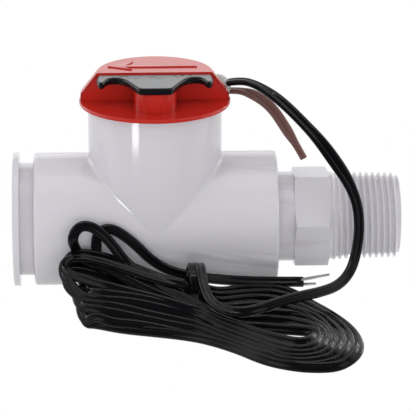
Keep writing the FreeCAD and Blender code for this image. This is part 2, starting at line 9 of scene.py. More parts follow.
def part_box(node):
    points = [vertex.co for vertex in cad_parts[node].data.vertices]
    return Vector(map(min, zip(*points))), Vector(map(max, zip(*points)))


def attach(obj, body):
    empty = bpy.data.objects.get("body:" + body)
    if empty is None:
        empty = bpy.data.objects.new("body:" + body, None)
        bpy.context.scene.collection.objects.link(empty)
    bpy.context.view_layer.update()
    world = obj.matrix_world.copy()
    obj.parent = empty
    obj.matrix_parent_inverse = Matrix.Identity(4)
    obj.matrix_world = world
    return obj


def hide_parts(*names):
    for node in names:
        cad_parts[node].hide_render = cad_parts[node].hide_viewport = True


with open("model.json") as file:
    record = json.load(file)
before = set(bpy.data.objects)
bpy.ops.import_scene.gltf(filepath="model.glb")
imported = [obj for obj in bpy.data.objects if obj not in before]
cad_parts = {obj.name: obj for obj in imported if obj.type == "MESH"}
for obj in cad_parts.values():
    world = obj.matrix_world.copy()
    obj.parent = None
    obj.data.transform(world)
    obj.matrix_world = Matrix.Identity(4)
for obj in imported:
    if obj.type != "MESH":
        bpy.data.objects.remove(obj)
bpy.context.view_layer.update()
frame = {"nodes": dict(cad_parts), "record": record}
nodes = frame["nodes"]
record = frame["record"]
mm = 0.001
weld = 1e-6  # vertices nearer than this are one

# the run axis and the branch axis, from the CAD nodes
flangeLow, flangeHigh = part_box("outlet_bushing")
capLow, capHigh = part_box("cap_body")
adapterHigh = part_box("inlet_adapter")[1]
branchX = (capLow.x + capHigh.x) / 2
runZ = (flangeLow.z + flangeHigh.z) / 2
print("frame loaded:", len(nodes), "nodes")

cameraSet = {
    "azimuth": -2.1,  # degrees round from the front
    "elevation": 18.4,
    "distance": 0.863,
    "lens": 250.1,
    "sensor": 36,
    "clip": (0.05, 20),
    "target": (0.00055, 0.0, 0.0227),
}


def viewBack(azimuth, elevation):  # from the target towards the camera
    a, e = math.radians(azimuth), math.radians(elevation)
    return Vector((math.sin(a) * math.cos(e), -math.cos(a) * math.cos(e), math.sin(e)))


def addCamera():
    data = bpy.data.cameras.new("camera")
    data.lens = cameraSet["lens"]
    data.sensor_width = cameraSet["sensor"]
    data.clip_start, data.clip_end = cameraSet["clip"]
    camera = bpy.data.objects.new("camera", data)
    bpy.context.scene.collection.objects.link(camera)
    back = viewBack(cameraSet["azimuth"], cameraSet["elevation"])
    camera.location = Vector(cameraSet["target"]) + back * cameraSet["distance"]
    camera.rotation_euler = back.to_track_quat("Z", "Y").to_euler()
    bpy.context.scene.camera = camera
    bpy.context.scene.view_settings.view_transform = "Standard"


addCamera()
print("camera placed")


def newObject(name, mesh):
    piece = bpy.data.objects.new(name, mesh)
    bpy.context.scene.collection.objects.link(piece)
    return piece


def smoothFaces(mesh, angle):
    for face in mesh.polygons:
        face.use_smooth = True
    mesh.set_sharp_from_angle(angle=math.radians(angle))


def meshFrom(bm, name, angle=35):
    mesh = bpy.data.meshes.new(name)
    bmesh.ops.recalc_face_normals(bm, faces=bm.faces)
    bm.to_mesh(mesh)
    bm.free()
    smoothFaces(mesh, angle)
    return mesh


twinCord = {
    "width": 3.15,
    "thickness": 1.8,
    "groove": 0.22,  # how far the web sinks between the conductors, as a share of the half thickness
    "sides": 28,
    "resolution": 5,
}
twinShape = {  # what both cords have alike
    "webWide": 0.1,  # the web between the conductors, as a share of the cord's width
    "spreadGroove": 7,  # how much deeper the groove gets as the conductors spread
    "deepest": 0.8,
    "endRound": 0.3,
}
wrapSet = {  # the cord wound round the middle of the hank
    "middle": (-30.6, 9.4),  # y and z
    "radius": 6.1,
    "start": -2.8,
    "advance": -3.9,
    "firstAngle": 95,
    "sweep": -655,  # degrees
    "points": 17,
}


def wrapTurns():  # the helix of the wrap, to a tenth of a millimetre
    s = wrapSet
    turns = []
    for k in range(s["points"]):
        share = k / (s["points"] - 1)
        angle = math.radians(s["firstAngle"] + s["sweep"] * share)
        y = s["middle"][0] + s["radius"] * math.cos(angle)
        z = s["middle"][1] + s["radius"] * math.sin(angle)
        turns.append((round(s["start"] + s["advance"] * share, 1), round(y, 1), round(z, 1)))
    return turns


# the route of the black cord, in millimetres: each stretch has its name, the way its flat side faces,
# how far its conductors spread, and its points
blackRoute = [
    ("at the seal", (0.2, -0.25, 1), 1, [(6.5, 3.8, 60.5), (10.3, 2.4, 61.5), (14.4, 0.5, 60.9)]),
    ("over the run", (0.2, -1, 0.3), 1.03, [(19, -2.2, 58.8), (23.4, -5.4, 55.8), (28.1, -8.8, 51.7)]),
    ("spread pair", (0.3, -1, 0.3), 1.34, [(32.7, -12.2, 47.3), (37, -15.3, 41.9)]),
    ("down to the hank", (0.25, -1, 0.3), 1, [(40.9, -17.9, 36.4), (43.5, -20, 30.2), (44, -22.4, 23.4),
        (43, -25.2, 17), (41, -28.8, 12.2), (37.2, -33.6, 9.8), (31.8, -38.6, 9.7), (25.2, -43.6, 10.3),
        (18.8, -48.2, 10.2), (13.2, -52.2, 9.8)]),
    ("up to the wrap", (0.35, -0.7, 0.6), 1, [(7.8, -53.8, 9.3), (3, -51.8, 9.4), (-0.4, -47.2, 10.2),
        (-2, -41.4, 11.8), (-2.6, -35.6, 14.4)]),
    ("wrap", "outward", 0.95, wrapTurns()),
    ("back to the left end", (0, -0.4, 0.9), 1, [(-12, -36.5, 12.4), (-18, -34, 13.4), (-25, -30.6, 14.8),
        (-32, -27.6, 16.2), (-37.6, -26.2, 16.8), (-41.2, -26.2, 16), (-42.3, -27.2, 14)]),
    ("turn 7", (0, -0.94, 0.34), 1, [(-41.2, -28.6, 12.6), (-36.4, -31.7, 12.1), (-30.5, -35.5, 11.3),
        (-23.8, -37.9, 10.2), (-15.7, -40.7, 9), (-8.4, -43.9, 7.7), (-2.4, -46.3, 6.9), (1.3, -50.1, 6.2),
        (7.6, -55.4, 5.7), (12.2, -60.4, 5.6), (16.8, -65.2, 5.9), (21.3, -69.1, 6.1), (25.1, -70.4, 6.4),
        (27.9, -67.3, 6.5), (28.5, -63.4, 6.7), (26.5, -61.8, 6.6), (22.8, -60.5, 6.4), (18.4, -58.6, 6.1),
        (13.4, -56.3, 5.8), (7.9, -55.1, 5.6), (1.5, -50.4, 5.8), (-1.6, -45.1, 6.8), (-5.9, -40.8, 8.2),
        (-11.6, -37.5, 9.6), (-16.9, -33.4, 11.2), (-20.9, -29.1, 13)]),
    ("loop A", (0.2, -0.9, 0.4), 1, [(-24.7, -26, 15.4), (-28.4, -25, 20.5), (-31.7, -24.5, 24),
        (-34.7, -24.3, 25.7), (-37.1, -24.5, 25.8), (-39, -25, 24.3), (-39.8, -25.6, 21.6),
        (-38.8, -23.4, 18.6)]),
    ("turn 6", (0, -0.94, 0.34), 1, [(-38.1, -22.4, 15.6), (-38, -23, 12.6), (-36.9, -27.5, 9.4),
        (-35.4, -32.6, 8.8), (-33.6, -36.9, 9.6), (-25.8, -38.6, 9.4), (-17.7, -40.6, 8.6),
        (-9.7, -43.2, 7.3), (-3.1, -46.4, 6.3), (1.3, -51.1, 5.2), (7.5, -56.9, 4.7), (13, -63.4, 4.7),
        (17.8, -69.2, 4.8), (22, -72.4, 4.9), (25.8, -72.5, 5.2), (29, -69.2, 5.5), (30.6, -63, 5.9),
        (29.2, -58.5, 6), (26.3, -55.2, 5.9), (22, -52.2, 5.9), (16.9, -50.6, 5.7), (11.4, -49.9, 5.5),
        (4.8, -48.9, 5.4), (-1.6, -44.6, 5.9), (-8.3, -40.9, 7.2), (-15, -37.3, 9), (-21.4, -33.7, 11),
        (-27.8, -30, 13.4), (-34.2, -26.9, 15.5), (-38.2, -25.5, 16.3), (-41, -25.4, 15.8),
        (-42.5, -26.8, 14.2), (-42.1, -29, 12)]),
    ("turn 5", (0, -0.94, 0.34), 1, [(-40.3, -31.4, 10.2), (-38.6, -33.3, 8.8), (-35.8, -36.8, 7.8),
        (-31.3, -39, 8.2), (-23.8, -40, 8.1), (-15.8, -42, 7), (-7.7, -44.9, 5.8), (-1.8, -47.7, 5),
        (1.2, -52.4, 4.1), (7.5, -58.3, 3.7), (13.9, -65.7, 3.9), (18.9, -72, 4.1), (23.7, -73.6, 4.1),
        (28, -73.1, 4.4), (31.1, -69.4, 5.1), (32, -63.2, 5.2), (31.2, -57.6, 5.2), (29, -52.5, 5.3),
        (25.5, -47.9, 5.3), (21.1, -45.4, 5.4), (16.6, -43.9, 5.5), (11, -43.6, 5.4), (5, -43.9, 5.6),
        (-1.7, -37.7, 4.7), (-8.1, -35.6, 5.2), (-15.6, -32.1, 6.9), (-23, -29.8, 9.1), (-30.5, -28.7, 11.3),
        (-36.4, -27.3, 12.7), (-39.8, -27.1, 13.1), (-41.4, -28.8, 12), (-41.2, -31.4, 9.8),
        (-38.4, -34.2, 8), (-36.5, -36.8, 6.8)]),
    ("turn 4", (0, -0.94, 0.34), 1, [(-30.6, -40.1, 7), (-25.9, -41.4, 6.7), (-18.5, -43.9, 5.5),
        (-11.1, -46.3, 4.6), (-3.2, -49.5, 3.8), (1.2, -53.9, 3.2), (7.4, -59.8, 2.9), (13.8, -67.6, 3.1),
        (19.7, -73.2, 3.1), (24.8, -74.8, 3.3), (29.7, -73.9, 3.8), (32.7, -71.1, 4.8), (33.5, -64.9, 4.8),
        (32.8, -58.2, 4.7), (31.1, -51.3, 4.8), (28.2, -45.6, 4.7), (24.3, -40.6, 4.8), (19.5, -38.2, 5.2),
        (14.2, -38.2, 5.6), (9.1, -39.4, 5.7), (3.5, -40.1, 5.5), (-1.6, -34.4, 5), (-8.1, -33.6, 5.4),
        (-14.9, -33.4, 5.9), (-21.7, -33.3, 6.4), (-28.5, -33.3, 6.8), (-34.8, -32.8, 7.5),
        (-38.1, -31.2, 8.7), (-38.6, -32.8, 7.8), (-38.1, -35.6, 6.4), (-36.7, -38.2, 5.6)]),
    ("turn 3", (0, -0.94, 0.34), 1, [(-34.4, -39.8, 5.9), (-30.6, -41.5, 5.7), (-25.9, -42.6, 5.2),
        (-18.5, -44.8, 4.1), (-11.2, -47.3, 3.3), (-3.2, -50.3, 2.7), (1.2, -54.8, 2.1), (7.4, -60.8, 2),
        (13.7, -69.3, 2.6), (20.1, -74.4, 2.3), (26.2, -75.8, 2.6), (31.5, -74.5, 3.3), (34.6, -71.8, 4.4),
        (35.8, -65.2, 4.5), (35.4, -58.2, 4.6), (33.6, -52, 4.5), (31.1, -45.8, 4.4), (27.6, -39.4, 4.2),
        (23, -33.9, 4.4), (17.8, -31.8, 5.1), (12.4, -32.5, 5.6), (7.6, -34.9, 6.1), (2.6, -36.8, 6.1),
        (-1.5, -32.5, 5.9), (-8.1, -32.3, 6.2), (-14.9, -32, 6.9), (-21.7, -31.7, 7.6), (-28.5, -32, 7.8),
        (-34.4, -32.9, 7.5), (-36.8, -34.3, 7), (-37.5, -36.6, 5.4), (-36.9, -39.4, 3.6),
        (-35.5, -41.4, 2.6)]),
    ("turn 2", (0, -0.94, 0.34), 1, [(-33, -41.9, 4.4), (-28.7, -44.3, 3.3), (-22.6, -45.5, 3.2),
        (-15.9, -46.8, 2.5), (-8.6, -49.6, 1.5), (-1.7, -53.4, 1.5), (6.7, -60.7, 1.5), (13.7, -69.3, 1.6),
        (20.7, -75.2, 1.7), (26.8, -76.4, 1.7), (32.6, -75.4, 2.3), (36.5, -72.5, 3.7), (38, -66.7, 4.1),
        (37.9, -58.6, 4.1), (36.3, -51.2, 4), (33.5, -44, 3.8), (30, -37.6, 3.9), (25.6, -30, 4),
        (20.4, -26.6, 4.6), (14.6, -27.5, 5.4), (8.8, -30.1, 6), (2.7, -32.6, 6.3), (-1.5, -31.1, 6.8),
        (-8, -30.9, 7.1), (-14.8, -30.2, 8.1), (-21.7, -29.2, 9.2), (-28.5, -29.8, 9.6), (-33.6, -31.8, 8.9),
        (-35.8, -34.5, 7.7), (-36.7, -36.4, 5.8), (-36.6, -39, 3.6), (-35.6, -41.2, 1.9)]),
    ("turn 1", (0, -0.94, 0.34), 1, [(-33.7, -41.4, 2.1), (-26, -44.8, 1.6), (-17.2, -47.3, 1.5),
        (-8.6, -50.2, 1.5), (-1.7, -53.8, 1.5), (6.7, -61.6, 1.5), (13.6, -70.6, 1.5), (20.7, -75.2, 1.5),
        (27, -77, 1.5), (33.4, -76.5, 1.5), (37.6, -74, 2.6), (40.1, -69.6, 3.6), (40.4, -62, 3.6),
        (39, -53.9, 3.6), (36.3, -46.6, 3.7), (32.9, -39.7, 3.8), (29.2, -30.4, 2.9), (25.1, -21.7, 3),
        (20.8, -19.9, 3.7), (15.7, -21.2, 4.6), (9.4, -24.1, 5.5), (2.8, -29.2, 6.4), (-1.5, -31.3, 8.3),
        (-6.6, -31.1, 9.5), (-12.8, -29.9, 10.6), (-19.5, -27.3, 12.5), (-25.7, -25.7, 14.6),
        (-31.1, -24.6, 16.3), (-35.7, -23.8, 17), (-39.1, -23.7, 16.9), (-41, -24.2, 15.6),
        (-41.1, -25.6, 13.4), (-38.9, -26.2, 12.2)]),
    ("loop B", (0, -1, 0.2), 1, [(-35.8, -25.6, 12.4), (-33.6, -24.6, 14.2), (-32.8, -23.8, 17),
        (-32.8, -22.4, 22.2), (-30.7, -22, 23.9), (-28, -22, 23.9), (-24.9, -22, 22), (-21.1, -22, 18.7),
        (-17.4, -22.6, 14.8), (-13.3, -23.5, 12.2), (-8.9, -24.5, 10.8), (-5.4, -25, 10.2)]),
    ("tail", (0, -0.8, 0.6), 1, [(-1, -22.6, 8.6), (6, -20.6, 7.1), (13.6, -19.4, 6.2), (20.8, -18.2, 5.6),
        (28.1, -17.4, 5.2)]),
]

brownCord = {
    "width": 2.9,
    "thickness": 1.6,
    "groove": 0.34,
    "sides": 28,
    "resolution": 6,
}
brownRoute = [
    ("root", (0.1, -0.1, 1), 1, [(6.9, 6.8, 57.1), (9.6, 5.8, 57.5)]),
    ("middle", (-0.1, -1, 0.35), 1.12, [(13.4, 4, 57.1), (17.3, 2.2, 55.2), (20.3, 0.8, 52.4),
        (22.8, -0.4, 48.7), (25.1, -1.4, 45.1)]),
    ("end", (-0.6, -1, 0.2), 0.75, [(27.1, -2.3, 42), (28.9, -3.1, 38.8)]),
]

blendPasses = 12  # how far a stretch's facing and spread carry over into its neighbours


def blended(values, passes):  # each value drawn towards its neighbours
    last = len(values) - 1
    for _ in range(passes):
        values = [
            (values[max(k - 1, 0)] + values[k] * 2 + values[min(k + 1, last)]) / 4
            for k in range(last + 1)
        ]
    return values


def routeLine(name, route, resolution):  # the route's smooth spline, with the facing and the spread along it
    corners = []
    for _, way, spread, points in route:
        centre = sum((Vector(p) for p in points), Vector()) / len(points)
        for p in points:
            outward = Vector((0, p[1] - centre.y, p[2] - centre.z))
            facing = outward if way == "outward" else Vector(way)
            corners.append((Vector(p) * mm, facing.normalized(), spread))
    curve = bpy.data.curves.new(name, "CURVE")
    curve.dimensions = "3D"
    curve.resolution_u = resolution
    spline = curve.splines.new("NURBS")
    spline.points.add(len(corners) - 1)
    for point, corner in zip(spline.points, corners):
        point.co = (*corner[0], 1)
    spline.order_u = 3
    spline.use_endpoint_u = True
    holder = bpy.data.objects.new(name, curve)
    line = [v.co.copy() for v in bpy.data.meshes.new_from_object(holder).vertices]
    bpy.data.objects.remove(holder)
    ways, spreads = [], []
    for k in range(len(line)):
        place = k / (len(line) - 1) * (len(corners) - 1)
        low = min(int(place), len(corners) - 2)
        (_, way, spread), (_, nextWay, nextSpread) = corners[low], corners[low + 1]
        ways.append(way.lerp(nextWay, place - low))
        spreads.append(spread + (nextSpread - spread) * (place - low))
    return line, blended(ways, blendPasses), blended(spreads, blendPasses)


def twinSection(cord, k, spread):  # a point of the section, across the flat and through it
    turn = 2 * math.pi * k / cord["sides"]
    radius = cord["thickness"] / 2
    middle = cord["width"] / 2 - radius  # of each conductor
    across = math.cos(turn) * cord["width"] / 2
    off = abs(across) - middle
    conductor = math.sqrt(max(radius * radius - off * off, 0))
    groove = min(cord["groove"] * (1 + twinShape["spreadGroove"] * max(spread - 1, 0)), twinShape["deepest"])
    web = math.exp(-((across / (cord["width"] * twinShape["webWide"])) ** 2))
    through = math.copysign(conductor * (1 - web) + radius * (1 - groove) * web, math.sin(turn))
    if k in (0, cord["sides"] // 2):  # the two edges of the cord
        through = 0
    return across * spread * mm, through * mm


def sweepTwin(name, cord, route):
    line, ways, spreads = routeLine(name, route, cord["resolution"])
    rings, sides = len(line), cord["sides"]
    bm = bmesh.new()
    bmesh.ops.create_grid(bm, x_segments=rings - 1, y_segments=sides, size=1)
    for v in bm.verts:
        ring = round((v.co.x + 1) / 2 * (rings - 1))
        side = round((v.co.y + 1) / 2 * sides) % sides
        ahead = (line[min(ring + 1, rings - 1)] - line[max(ring - 1, 0)]).normalized()
        across = ahead.cross(ways[ring]).normalized()
        through = across.cross(ahead)
        a, t = twinSection(cord, side, spreads[ring])
        v.co = line[ring] + across * a + through * t
    bmesh.ops.remove_doubles(bm, verts=bm.verts, dist=weld)
    ends = [e for e in bm.edges if e.is_boundary]
    bmesh.ops.holes_fill(bm, edges=ends, sides=sides)
    rounding = twinShape["endRound"] * mm
    bmesh.ops.bevel(bm, geom=ends, offset=rounding, affect="EDGES", segments=3, profile=0.5, material=-1)
    return newObject(name, meshFrom(bm, name)), line


blackCord, blackLine = sweepTwin("blackTwinCord", twinCord, blackRoute)
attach(blackCord, "housing")
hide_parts("cord_lead", "cord_hank", "cord_tail")

brownLead, brownLine = sweepTwin("brownTwinLead", brownCord, brownRoute)
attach(brownLead, "housing")
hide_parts("brown_lead")


adapterSet = {
    "threadLong": 21.0,
    "pitch": 1.814,
    "crestRadius": 13.3,
    "depth": 1.4,
    "taper": 0.03125,  # loss of radius along the thread
    "runOut": 6.5,  # the crests die away over this length next to the hexagon
    "lead": 1.2,
    "bore": 10.4,
    "steps": 72,
    "leadSlope": 0.9,  # fall of the crests over the lead
    "fade": 0.6,  # how evenly the crests die away
    "edgeRound": 0.35,
    "overlap": 0.2,  # of the hexagon and the thread
    "lengthwise": 0.99,  # an edge with this share of its length along the run counts as along it
    "cornerFrom": 0.8,  # radians between two flats that count as a corner
    "flatAngle": 9,  # degrees from which the hexagon's edges are drawn sharp
    "turnsBefore": 2,  # ridges ahead of the thread's start, which are cut away after the spin
    "ridge": [  # one turn of the thread: share of the pitch, share of the depth
        (0.0, 0.0), (0.1, 0.0), (0.4, 0.9), (0.47, 1.0), (0.53, 1.0), (0.6, 0.9), (0.9, 0.0),
    ],
}


def hexagonPiece():  # the spigot and the hexagon, with softened corners
    s = adapterSet
    threadStart = adapterHigh.x - s["threadLong"] * mm
    bm = bmesh.new()
    bm.from_mesh(nodes["inlet_adapter"].data)
    bmesh.ops.remove_doubles(bm, verts=bm.verts, dist=weld)
    everything = bm.verts[:] + bm.edges[:] + bm.faces[:]
    cut = (threadStart + s["overlap"] * mm, 0, 0)
    bmesh.ops.bisect_plane(bm, geom=everything, plane_co=cut, plane_no=(1, 0, 0), clear_outer=True)
    rims = [e for e in bm.edges if e.is_boundary]
    bmesh.ops.bridge_loops(bm, edges=rims)
    corners = []
    for e in bm.edges:
        along = (e.verts[1].co - e.verts[0].co).normalized()
        lengthwise = abs(along.x) > s["lengthwise"]
        if lengthwise and len(e.link_faces) == 2 and e.calc_face_angle(0) > s["cornerFrom"]:
            corners.append(e)
    rounding = s["edgeRound"] * mm
    bmesh.ops.bevel(bm, geom=corners, offset=rounding, affect="EDGES", segments=3, profile=0.5, material=-1)
    return newObject("adapterHexagon", meshFrom(bm, "adapterHexagon", s["flatAngle"]))


def threadPiece():  # a profile of ridges, spun one turn while it moves on by a pitch, tapered and bored
    s = adapterSet
    start = adapterHigh.x - s["threadLong"] * mm
    root = s["crestRadius"] - s["depth"]
    bm = bmesh.new()
    chain = []
    for turn in range(-s["turnsBefore"], math.ceil(s["threadLong"] / s["pitch"]) + 1):
        for along, rise in s["ridge"]:
            x = start + (turn + along) * s["pitch"] * mm
            chain.append(bm.verts.new((x, 0, runZ + (root + rise * s["depth"]) * mm)))
    edges = [bm.edges.new(pair) for pair in zip(chain, chain[1:])]
    axis = Vector((0, 0, runZ))
    step = Vector((s["pitch"] * mm / s["steps"], 0, 0))
    bmesh.ops.spin(
        bm, geom=chain + edges, cent=axis, axis=(1, 0, 0), dvec=step, angle=2 * math.pi, steps=s["steps"],
        use_merge=False, use_duplicate=False,
    )
    bmesh.ops.remove_doubles(bm, verts=bm.verts, dist=weld)
    for v in bm.verts:
        away = Vector((0, v.co.y, v.co.z - runZ))
        along = (v.co.x - start) / mm
        rise = (away.length / mm - root) / s["depth"]
        crest = s["crestRadius"] - s["taper"] * max(along, 0)
        deep = s["depth"] * min(max(along / s["runOut"], 0.0), 1.0) ** s["fade"]
        radius = crest - deep * (1 - rise)
        radius = min(radius, crest - max(along - s["threadLong"] + s["lead"], 0) * s["leadSlope"])
        v.co = Vector((v.co.x, 0, runZ)) + away.normalized() * radius * mm
    for x, side in ((start, -1), (adapterHigh.x, 1)):
        everything = bm.verts[:] + bm.edges[:] + bm.faces[:]
        cut, outward = (x, 0, 0), (side, 0, 0)
        bmesh.ops.bisect_plane(bm, geom=everything, plane_co=cut, plane_no=outward, clear_outer=True)
    rims = [e for e in bm.edges if e.is_boundary]
    inner = bmesh.ops.extrude_edge_only(bm, edges=rims)["geom"]
    for v in inner:
        if isinstance(v, bmesh.types.BMVert):
            away = Vector((0, v.co.y, v.co.z - runZ))
            v.co = Vector((v.co.x, 0, runZ)) + away.normalized() * s["bore"] * mm
    bmesh.ops.bridge_loops(bm, edges=[e for e in bm.edges if e.is_boundary])
    return newObject("adapterThread", meshFrom(bm, "adapterThread"))


adapterHexagon = hexagonPiece()
adapterThread = threadPiece()
for piece in (adapterHexagon, adapterThread):
    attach(piece, "housing")
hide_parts("inlet_adapter")
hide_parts("inlet_adapter")
print("adapter threaded")

flowArrow = {
    "tip": (-13.8, 4.9),  # on the cap's top, from the middle of the branch
    "barbs": ((-6.2, 9.9), (-6.6, 1.4)),
    "notch": -8.6,
    "shaftEnd": 12.6,
    "shaftWide": 1.5,
    "raised": 0.35,
    "sunk": 0.3,
    "edgeRound": 0.12,
}


def flowArrowPiece():
    s = flowArrow
    half = s["shaftWide"] / 2
    middle = s["tip"][1]
    outline = [
        s["tip"], s["barbs"][1], (s["notch"], middle - half), (s["shaftEnd"], middle - half),
        (s["shaftEnd"], middle + half), (s["notch"], middle + half), s["barbs"][0],
    ]
    bm = bmesh.new()
    foot = capHigh.z - s["sunk"] * mm
    corners = [bm.verts.new((branchX + x * mm, y * mm, foot)) for x, y in outline]
    face = bm.faces.new(corners)
    top = bmesh.ops.extrude_face_region(bm, geom=[face])["geom"]
    lifted = [v for v in top if isinstance(v, bmesh.types.BMVert)]
    bmesh.ops.translate(bm, verts=lifted, vec=(0, 0, (s["sunk"] + s["raised"]) * mm))
    rim = [e for e in bm.edges if e.verts[0] in lifted and e.verts[1] in lifted]
    rounding = s["edgeRound"] * mm
    bmesh.ops.bevel(bm, geom=rim, offset=rounding, affect="EDGES", segments=2, profile=0.5, material=-1)
    return newObject("flowArrow", meshFrom(bm, "flowArrow"))


arrow = flowArrowPiece()
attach(arrow, "housing")
print("flow arrow raised")

bareWire = {
    "strandRadius": 0.2,
    "wireRadius": 0.34,
    "strands": 6,
    "twist": 1.6,  # turns along the bare length
    "rings": 26,
    "sides": 8,
    "tighter": 0.35,  # loss of the twist's radius towards the end
    "ends": ((-1, -3.0, 4.4), (1, -11.0, 8.6)),  # side of the cord, turn about Y in degrees, bare length
    "sunk": 0.8,
    "smoothAngle": 60,  # degrees
}


def strandLine(start, end, k):
    s = bareWire
    ahead = (end - start).normalized()
    side = ahead.orthogonal().normalized()
    other = ahead.cross(side)
    line = []
    for ring in range(s["rings"] + 1):
        share = ring / s["rings"]
        turn = 2 * math.pi * (k / s["strands"] + s["twist"] * share)
        reach = s["wireRadius"] * mm * (1 - s["tighter"] * share)
        line.append(start.lerp(end, share) + (side * math.cos(turn) + other * math.sin(turn)) * reach)
    return line


def sweepRound(bm, line, radius, sides):
    first = bmesh.ops.create_circle(bm, cap_ends=True, segments=sides, radius=radius)["verts"]
    ahead = (line[1] - line[0]).normalized()
    turn = ahead.to_track_quat("Z", "X").to_matrix().to_4x4()
    bmesh.ops.transform(bm, matrix=Matrix.Translation(line[0]) @ turn, verts=first)
    faces = list(first[0].link_faces)
    for before, after in zip(line, line[1:]):
        grown = bmesh.ops.extrude_face_region(bm, geom=faces)["geom"]
        if before is not line[0]:  # only the first cap stays, and the others would lie inside the wire
            bmesh.ops.delete(bm, geom=faces, context="FACES_ONLY")
        verts = [v for v in grown if isinstance(v, bmesh.types.BMVert)]
        faces = [f for f in grown if isinstance(f, bmesh.types.BMFace)]
        bmesh.ops.translate(bm, verts=verts, vec=after - before)


def bareEnds():  # the two stripped ends, each a twist of fine strands
    s = bareWire
    tailAhead = (blackLine[-1] - blackLine[-3]).normalized()
    bm = bmesh.new()
    for side, turn, long in s["ends"]:
        heading = Matrix.Rotation(math.radians(turn), 3, "Y") @ tailAhead
        conductor = blackLine[-1] + Vector((0, 0, side * twinCord["width"] * mm / 4))
        start = conductor - heading * s["sunk"] * mm
        for k in range(s["strands"]):
            line = strandLine(start, start + heading * long * mm, k)
            sweepRound(bm, line, s["strandRadius"] * mm, s["sides"])
    return newObject("bareEnds", meshFrom(bm, "bareEnds", s["smoothAngle"]))


stripped = bareEnds()
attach(stripped, "housing")
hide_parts("conductor_ends")
print("wire ends stripped")

gripSet = {
    "wallBack": 1.5,  # how far the cap's cut wall and the plate's back stand behind the CAD's
    "wallGap": 0.25,  # between that wall and the plate in the CAD
    "wallNear": 0.02,  # reach of the search for the wall's corners
    "coneFrom": 12,  # the wall's corners further out than this lie on the cap's cone
    "section": [  # of the plate's edge: height, and growth beyond the foil's edge
        (0, 0.1), (0.2, 0.38), (0.5, 0.5), (1.25, 0.5), (1.6, 0.42), (1.85, 0.22), (2, 0),
    ],
    "outline": [  # right half of the foil's edge, from the middle of the tongue to the tip of the horn
        (0, -15.6), (2.2, -15.6), (3.8, -15.5), (4.7, -14.8), (5.9, -11.9), (7.1, -8.9), (8.3, -6.4),
        (9.5, -4.75), (10.7, -3.95), (11.8, -3.75), (12.9, -4.0), (13.9, -4.9), (14.7, -6.4), (15.25, -8.2),
        (15.7, -8.8), (16.1, -8.3), (16.4, -6.7), (16.5, -4.5), (16.4, -2.4), (16.2, -1.7),
    ],
    "steps": 4,  # along each stretch of the outline
    "foilThick": 0.1,
    "foilSunk": 0.03,
    "foilShort": 0.02,
    "marks": [  # x, y and length of the small dark marks at the back of the foil
        (-9.9, -2.9, 1.4), (-8.3, -3, 1.1), (-7.7, -5, 1.2), (-5.7, -5, 1.7), (-1.2, -4.1, 1.4),
        (-0.4, -3.7, 0.8), (1.1, -5.4, 1.7), (5.7, -2.8, 1), (6.6, -4.4, 0.5), (8, -2.7, 1.1),
        (10.4, -2.4, 0.8),
    ],
    "markWide": 0.42,
    "markThick": 0.06,
}
plateLow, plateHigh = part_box("test_handle")


def capShell():  # the cap, with its cut wall set back along its own cone
    s = gripSet
    mesh = nodes["cap_body"].data.copy()
    wall = plateHigh.y + s["wallGap"] * mm
    for v in mesh.vertices:
        if abs(v.co.y - wall) < s["wallNear"] * mm:
            across = v.co.x - branchX
            reach = math.hypot(across, v.co.y)
            v.co.y += s["wallBack"] * mm
            if abs(across) > s["coneFrom"] * mm:
                v.co.x = branchX + math.copysign(math.sqrt(reach ** 2 - v.co.y ** 2), across)
    bm = bmesh.new()
    bm.from_mesh(mesh)
    shade = bm.loops.layers.float_vector.new("shade")  # carries the CAD's shading through the merge
    corners = [corner for face in bm.faces for corner in face.loops]
    for corner, normal in zip(corners, mesh.corner_normals):
        corner[shade] = normal.vector
    bmesh.ops.remove_doubles(bm, verts=bm.verts, dist=weld)
    merged = meshFrom(bm, "capShell")
    shading = [value.vector.copy() for value in merged.attributes["shade"].data]
    merged.attributes.remove(merged.attributes["shade"])
    merged.normals_split_custom_set(shading)
    return newObject("capShell", merged)


def foilRing(grown, height):  # the foil's edge, grown a little, at a height above the plate's foot
    s = gripSet
    half = [Vector(p) for p in s["outline"]]
    half = [Vector((-half[1].x, half[1].y))] + half + [half[-1] * 2 - half[-2]]
    right = []
    for a, b, c, d in zip(half, half[1:], half[2:], half[3:]):  # a smooth curve through the points
        for step in range(s["steps"]):
            t = step / s["steps"]
            bend = (2 * a - 5 * b + 4 * c - d) * t * t + (3 * b - a - 3 * c + d) * t ** 3
            right.append(0.5 * (2 * b + (c - a) * t + bend))
    right.append(half[-2])
    ring = right + [Vector((-p.x, p.y)) for p in reversed(right[1:])]
    back = plateHigh.y + s["wallBack"] * mm
    corners = []
    for k, p in enumerate(ring):
        along = (ring[(k + 1) % len(ring)] - ring[k - 1]).normalized()
        moved = (p + Vector((along.y, -along.x)) * grown) * mm
        corners.append((branchX + moved.x, min(moved.y, back), plateLow.z + height * mm))
    return corners


def lofted(name, rings):  # each ring bridged to the next, with a flat face at either end
    bm = bmesh.new()
    rims = []
    for ring in rings:
        corners = [bm.verts.new(p) for p in ring]
        rims.append([bm.edges.new(pair) for pair in zip(corners, corners[1:] + corners[:1])])
    for low, high in zip(rims, rims[1:]):
        bmesh.ops.bridge_loops(bm, edges=low + high)
    bmesh.ops.holes_fill(bm, edges=rims[0] + rims[-1], sides=0)
    return newObject(name, meshFrom(bm, name))


def gripPlate():
    return lofted("gripPlate", [foilRing(grown, height) for height, grown in gripSet["section"]])


def foil():
    s = gripSet
    top = s["section"][-1][0]
    heights = (top - s["foilSunk"], top + s["foilThick"])
    return lofted("gripFoil", [foilRing(-s["foilShort"], height) for height in heights])


